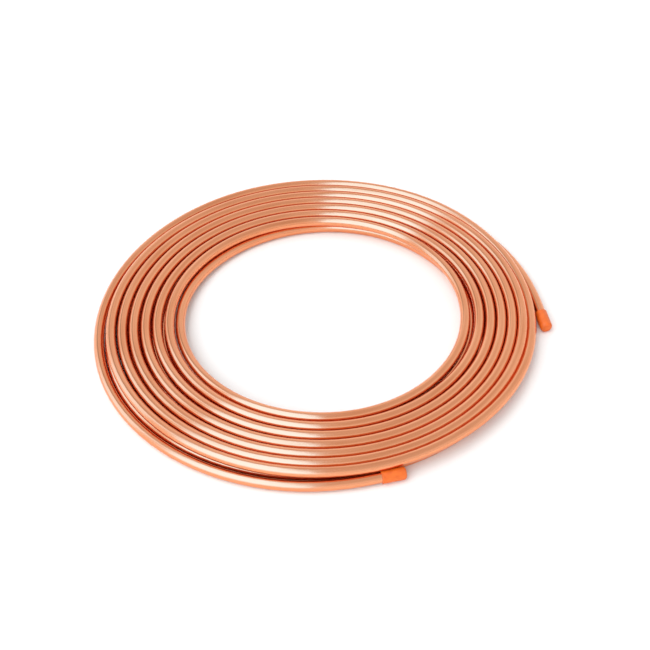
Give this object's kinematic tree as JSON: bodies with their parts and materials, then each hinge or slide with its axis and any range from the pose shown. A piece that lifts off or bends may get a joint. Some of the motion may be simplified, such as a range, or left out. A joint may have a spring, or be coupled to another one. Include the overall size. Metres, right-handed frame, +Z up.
{
  "type": "copper tube coil",
  "caption": "Flat coil of soft copper tube wound in two layers, with both ends on the outside and a plastic cap pushed over each end.",
  "frame": {"origin": "centre of the coil's eye, on the floor that the coil lies on", "axes": "+Z up along the coil's axis, +X to the capped end at the side, -Y to the capped end at the front"},
  "size_m": [0.431, 0.4212, 0.0193],
  "materials": {
    "copper": "drawn soft copper, bare, satin",
    "cap_plastic": "moulded soft plastic, orange, smooth"
  },
  "bodies": {
    "root": {"copper_tube": "copper", "front_end_cap": "cap_plastic", "side_end_cap": "cap_plastic"}
  },
  "joints": []
}
